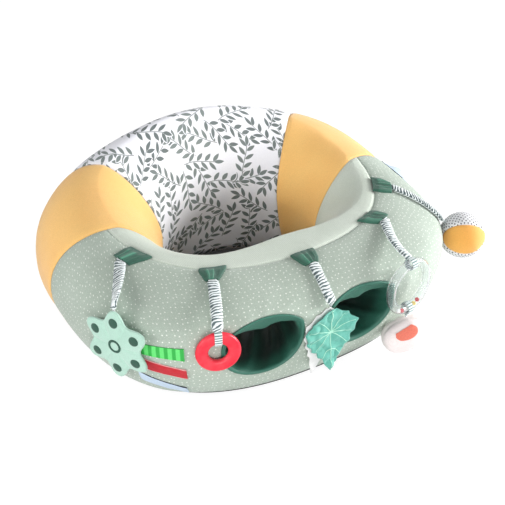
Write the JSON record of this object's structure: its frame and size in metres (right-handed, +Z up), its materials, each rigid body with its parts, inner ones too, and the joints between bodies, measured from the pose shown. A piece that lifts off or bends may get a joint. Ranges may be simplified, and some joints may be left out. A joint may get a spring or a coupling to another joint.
{
  "type": "baby floor seat",
  "caption": "Inflated ring seat in a padded cloth cover, with a seat well, two leg tunnels and toys hanging from elastic straps.",
  "frame": {"origin": "on the floor, on the underside of the base panel below the middle of the seat well", "axes": "+X to the right when seen from the front, +Y towards the tall back, +Z up; the leg holes face -Y"},
  "size_m": [0.6368, 0.4986, 0.2559],
  "materials": {
    "vinyl": "smooth",
    "valve": "smooth",
    "base_cloth": "matt",
    "sage_cloth": "matt",
    "pale_sage_cloth": "matt",
    "orange_cloth": "matt",
    "print_cloth": "matt",
    "lining_cloth": "matt",
    "pad_cloth": "quilted",
    "zip_tape": "woven",
    "zip_teeth": "smooth",
    "zip_metal": "smooth",
    "tab_cloth": "pleated",
    "strap_cloth": "gathered",
    "mint_cloth": "felt",
    "dark_green_cloth": "felt",
    "wadding": "fluffy",
    "teether_plastic": "smooth",
    "leaf_cloth": "matt",
    "white_cloth": "matt",
    "film": "crinkled",
    "clear_plastic": "clear",
    "white_bead": "smooth",
    "red_bead": "smooth",
    "yellow_bead": "smooth",
    "pink_cloth": "plush",
    "coral_cloth": "matt",
    "squeaker_plastic": "smooth",
    "ball_orange_cloth": "matt",
    "ball_dotted_cloth": "matt",
    "bell_brass": "polished",
    "pellet_steel": "plain",
    "green_satin": "satin",
    "red_satin": "satin",
    "blue_satin": "satin"
  },
  "bodies": {
    "seat": {"bladder": "vinyl", "valve_stem": "valve", "base_panel": "base_cloth", "front_panel": "sage_cloth", "inner_front_panel": "pale_sage_cloth", "right_orange_panel": "orange_cloth", "left_orange_panel": "orange_cloth", "back_panel": "print_cloth", "right_leg_lining": "lining_cloth", "left_leg_lining": "lining_cloth", "seat_pad": "pad_cloth", "zip_tape": "zip_tape", "zip_teeth": "zip_teeth", "tab_1": "tab_cloth", "tab_2": "tab_cloth", "tab_3": "tab_cloth", "tab_4": "tab_cloth", "tab_5": "tab_cloth", "ribbon_green": "green_satin", "ribbon_red": "red_satin", "ribbon_blue": "blue_satin", "ribbon_right": "blue_satin"},
    "strap_1": {"strap_1": "strap_cloth"},
    "strap_2": {"strap_2": "strap_cloth"},
    "strap_3": {"strap_3": "strap_cloth"},
    "strap_4": {"strap_4": "strap_cloth"},
    "strap_5": {"strap_5": "strap_cloth"},
    "pendant": {"pendant_front": "mint_cloth", "pendant_back": "mint_cloth", "pendant_wadding": "wadding", "pendant_marks": "dark_green_cloth"},
    "teether": {"teether_ring": "teether_plastic"},
    "leaf": {"leaf_front": "leaf_cloth", "leaf_back": "white_cloth", "leaf_film": "film"},
    "rattle": {"rattle_ring": "clear_plastic"},
    "beads": {"beads_white": "white_bead", "beads_red": "red_bead", "bead_yellow": "yellow_bead"},
    "lower_strap": {"lower_strap": "strap_cloth"},
    "cushion": {"cushion_body": "pink_cloth", "cushion_patch": "coral_cloth", "squeaker": "squeaker_plastic"},
    "ball": {"ball_orange_panels": "ball_orange_cloth", "ball_dotted_panels": "ball_dotted_cloth", "ball_stuffing": "wadding", "bell": "bell_brass"},
    "bell_pellet": {"bell_pellet": "pellet_steel"},
    "zip_slider": {"zip_slider": "zip_metal"},
    "zip_puller": {"zip_puller": "zip_metal"},
    "valve_plug": {"valve_plug": "valve"}
  },
  "joints": [
    {"name": "strap_1_lift", "type": "hinge", "parent": "seat", "child": "strap_1", "pos_m": [-0.2302, -0.06264, 0.17655], "axis": [-0.3234, 0.9374, 0.1292], "range_deg": [0, 60]},
    {"name": "strap_2_lift", "type": "hinge", "parent": "seat", "child": "strap_2", "pos_m": [-0.14047, -0.15701, 0.16523], "axis": [-0.9522, 0.3045, 0.0262], "range_deg": [0, 60]},
    {"name": "strap_3_lift", "type": "hinge", "parent": "seat", "child": "strap_3", "pos_m": [0, -0.18696, 0.16107], "axis": [-1, 0, 0], "range_deg": [0, 60]},
    {"name": "strap_4_lift", "type": "hinge", "parent": "seat", "child": "strap_4", "pos_m": [0.15394, -0.14965, 0.16615], "axis": [-0.9225, -0.3844, -0.0356], "range_deg": [0, 60]},
    {"name": "strap_5_lift", "type": "hinge", "parent": "seat", "child": "strap_5", "pos_m": [0.21787, -0.08676, 0.17366], "axis": [-0.4922, -0.8638, -0.1072], "range_deg": [0, 60]},
    {"name": "pendant_swing", "type": "hinge", "parent": "strap_1", "child": "pendant", "pos_m": [-0.27734, -0.14324, 0.1556], "axis": [-0.8769, -0.4808, 0], "range_deg": [-25, 25]},
    {"name": "teether_spin", "type": "hinge", "parent": "strap_2", "child": "teether", "pos_m": [-0.17412, -0.22787, 0.104], "axis": [-0.3296, -0.9441, 0], "continuous": true},
    {"name": "leaf_swing", "type": "hinge", "parent": "strap_3", "child": "leaf", "pos_m": [-0.01061, -0.24539, 0.1241], "axis": [-0.002, -1, 0], "range_deg": [-25, 25]},
    {"name": "rattle_spin", "type": "hinge", "parent": "strap_4", "child": "rattle", "pos_m": [0.11804, -0.25331, 0.116], "axis": [0.1509, -0.9886, 0], "continuous": true},
    {"name": "beads_roll", "type": "hinge", "parent": "rattle", "child": "beads", "pos_m": [0.11804, -0.25331, 0.116], "axis": [0.1509, -0.9886, 0], "continuous": true},
    {"name": "lower_strap_swing", "type": "hinge", "parent": "strap_4", "child": "lower_strap", "pos_m": [0.11804, -0.25331, 0.116], "axis": [0.1509, -0.9886, 0], "range_deg": [-25, 25]},
    {"name": "cushion_swing", "type": "hinge", "parent": "lower_strap", "child": "cushion", "pos_m": [0.11804, -0.25331, 0.0636], "axis": [0.1509, -0.9886, 0], "range_deg": [-15, 15]},
    {"name": "ball_swing", "type": "hinge", "parent": "strap_5", "child": "ball", "pos_m": [0.27808, -0.15138, 0.12024], "axis": [0.8573, -0.5149, 0], "range_deg": [-25, 25]},
    {"name": "pellet_drop", "type": "slide", "parent": "ball", "child": "bell_pellet", "axis": [0, 0, 1], "range_m": [0, 0.0144]},
    {"name": "zip_slide", "type": "slide", "parent": "seat", "child": "zip_slider", "axis": [1, 0, 0], "range_m": [-0.176, 0]},
    {"name": "puller_swing", "type": "hinge", "parent": "zip_slider", "child": "zip_puller", "pos_m": [0.091, 0.20425, 0.01546], "axis": [0, -0.6731, -0.7395], "range_deg": [-55, 0]},
    {"name": "valve_plug_pull", "type": "slide", "parent": "seat", "child": "valve_plug", "axis": [0, 1, 0], "range_m": [0, 0.008]}
  ]
}
